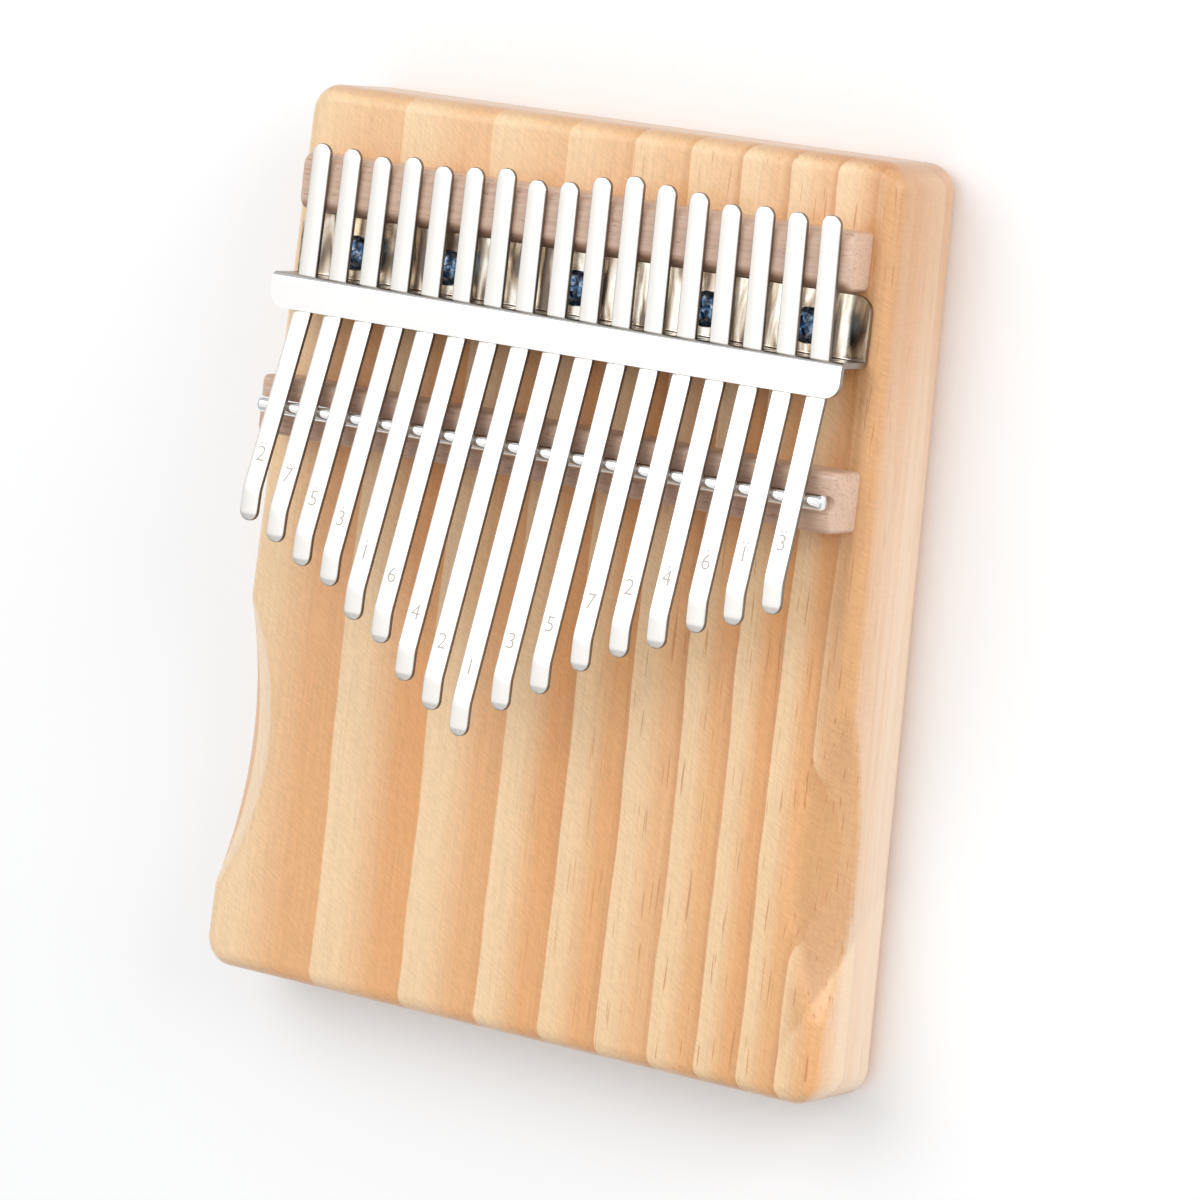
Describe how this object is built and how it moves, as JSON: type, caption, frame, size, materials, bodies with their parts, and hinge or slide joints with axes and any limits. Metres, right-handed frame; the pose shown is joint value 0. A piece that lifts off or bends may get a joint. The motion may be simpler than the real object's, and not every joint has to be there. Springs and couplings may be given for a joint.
{
  "type": "board kalimba",
  "caption": "Solid wooden board lamellophone with plucked flat steel tines, saddle rod, pressure bracket, bridges and palm scoops.",
  "frame": {"origin": "centre of the board's back face", "axes": "+Z out of the playing face, +Y from the player's edge towards the rear bridge, +X to the right"},
  "size_m": [0.1384, 0.17, 0.0447],
  "materials": {
    "pine": "satin varnished pine, lengthwise growth rings",
    "beech": "fine sanded pinkish beech, satin varnish",
    "rod_plating": "polished chrome",
    "bracket_plating": "polished nickel plate",
    "screw_zinc": "blue zinc plate",
    "tine_steel": "cold-rolled flat, nickel plated, bright with fine lengthwise polish"
  },
  "bodies": {
    "frame": {"board": "pine", "rear_bridge": "beech", "front_bridge": "beech", "saddle_rod": "rod_plating", "pressure_bracket": "bracket_plating", "bracket_screws": "screw_zinc", "tine_01_tail": "tine_steel", "tine_02_tail": "tine_steel", "tine_03_tail": "tine_steel", "tine_04_tail": "tine_steel", "tine_05_tail": "tine_steel", "tine_06_tail": "tine_steel", "tine_07_tail": "tine_steel", "tine_08_tail": "tine_steel", "tine_09_tail": "tine_steel", "tine_10_tail": "tine_steel", "tine_11_tail": "tine_steel", "tine_12_tail": "tine_steel", "tine_13_tail": "tine_steel", "tine_14_tail": "tine_steel", "tine_15_tail": "tine_steel", "tine_16_tail": "tine_steel", "tine_17_tail": "tine_steel"},
    "tine_01": {"tine_01_tongue": "tine_steel"},
    "tine_02": {"tine_02_tongue": "tine_steel"},
    "tine_03": {"tine_03_tongue": "tine_steel"},
    "tine_04": {"tine_04_tongue": "tine_steel"},
    "tine_05": {"tine_05_tongue": "tine_steel"},
    "tine_06": {"tine_06_tongue": "tine_steel"},
    "tine_07": {"tine_07_tongue": "tine_steel"},
    "tine_08": {"tine_08_tongue": "tine_steel"},
    "tine_09": {"tine_09_tongue": "tine_steel"},
    "tine_10": {"tine_10_tongue": "tine_steel"},
    "tine_11": {"tine_11_tongue": "tine_steel"},
    "tine_12": {"tine_12_tongue": "tine_steel"},
    "tine_13": {"tine_13_tongue": "tine_steel"},
    "tine_14": {"tine_14_tongue": "tine_steel"},
    "tine_15": {"tine_15_tongue": "tine_steel"},
    "tine_16": {"tine_16_tongue": "tine_steel"},
    "tine_17": {"tine_17_tongue": "tine_steel"}
  },
  "joints": [
    {"name": "tine_01_flex", "type": "hinge", "parent": "frame", "child": "tine_01", "pos_m": [-0.05654, 0.02491, 0.03286], "axis": [0.9993, -0.0384, 0], "range_deg": [-3, 4], "stiffness_Nm_per_rad": 0.0176},
    {"name": "tine_02_flex", "type": "hinge", "parent": "frame", "child": "tine_02", "pos_m": [-0.04941, 0.02491, 0.03286], "axis": [0.9994, -0.0349, 0], "range_deg": [-3, 4], "stiffness_Nm_per_rad": 0.0259},
    {"name": "tine_03_flex", "type": "hinge", "parent": "frame", "child": "tine_03", "pos_m": [-0.04228, 0.02491, 0.03286], "axis": [0.9995, -0.0314, 0], "range_deg": [-3, 4], "stiffness_Nm_per_rad": 0.0376},
    {"name": "tine_04_flex", "type": "hinge", "parent": "frame", "child": "tine_04", "pos_m": [-0.03515, 0.02491, 0.03286], "axis": [0.9996, -0.0279, 0], "range_deg": [-3, 4], "stiffness_Nm_per_rad": 0.0489},
    {"name": "tine_05_flex", "type": "hinge", "parent": "frame", "child": "tine_05", "pos_m": [-0.02802, 0.02491, 0.03286], "axis": [0.9997, -0.0244, 0], "range_deg": [-3, 4], "stiffness_Nm_per_rad": 0.0775},
    {"name": "tine_06_flex", "type": "hinge", "parent": "frame", "child": "tine_06", "pos_m": [-0.02089, 0.02491, 0.03286], "axis": [0.9998, -0.0209, 0], "range_deg": [-3, 4], "stiffness_Nm_per_rad": 0.0993},
    {"name": "tine_07_flex", "type": "hinge", "parent": "frame", "child": "tine_07", "pos_m": [-0.01376, 0.02491, 0.03286], "axis": [0.9998, -0.0175, 0], "range_deg": [-3, 4], "stiffness_Nm_per_rad": 0.15},
    {"name": "tine_08_flex", "type": "hinge", "parent": "frame", "child": "tine_08", "pos_m": [-0.00663, 0.02491, 0.03286], "axis": [0.9999, -0.014, 0], "range_deg": [-3, 4], "stiffness_Nm_per_rad": 0.195},
    {"name": "tine_09_flex", "type": "hinge", "parent": "frame", "child": "tine_09", "pos_m": [0.0005, 0.02491, 0.03286], "axis": [0.9999, -0.0105, 0], "range_deg": [-3, 4], "stiffness_Nm_per_rad": 0.24},
    {"name": "tine_10_flex", "type": "hinge", "parent": "frame", "child": "tine_10", "pos_m": [0.00763, 0.02491, 0.03286], "axis": [1, -0.007, 0], "range_deg": [-3, 4], "stiffness_Nm_per_rad": 0.167},
    {"name": "tine_11_flex", "type": "hinge", "parent": "frame", "child": "tine_11", "pos_m": [0.01476, 0.02491, 0.03286], "axis": [1, -0.0035, 0], "range_deg": [-3, 4], "stiffness_Nm_per_rad": 0.126},
    {"name": "tine_12_flex", "type": "hinge", "parent": "frame", "child": "tine_12", "pos_m": [0.02189, 0.02491, 0.03286], "axis": [1, 0, 0], "range_deg": [-3, 4], "stiffness_Nm_per_rad": 0.0841},
    {"name": "tine_13_flex", "type": "hinge", "parent": "frame", "child": "tine_13", "pos_m": [0.02902, 0.02491, 0.03286], "axis": [1, 0.0035, 0], "range_deg": [-3, 4], "stiffness_Nm_per_rad": 0.0613},
    {"name": "tine_14_flex", "type": "hinge", "parent": "frame", "child": "tine_14", "pos_m": [0.03615, 0.02491, 0.03286], "axis": [1, 0.007, 0], "range_deg": [-3, 4], "stiffness_Nm_per_rad": 0.047},
    {"name": "tine_15_flex", "type": "hinge", "parent": "frame", "child": "tine_15", "pos_m": [0.04328, 0.02491, 0.03286], "axis": [0.9999, 0.0105, 0], "range_deg": [-3, 4], "stiffness_Nm_per_rad": 0.0308},
    {"name": "tine_16_flex", "type": "hinge", "parent": "frame", "child": "tine_16", "pos_m": [0.05041, 0.02491, 0.03286], "axis": [0.9999, 0.014, 0], "range_deg": [-3, 4], "stiffness_Nm_per_rad": 0.0229},
    {"name": "tine_17_flex", "type": "hinge", "parent": "frame", "child": "tine_17", "pos_m": [0.05754, 0.02491, 0.03286], "axis": [0.9998, 0.0175, 0], "range_deg": [-3, 4], "stiffness_Nm_per_rad": 0.0151}
  ]
}
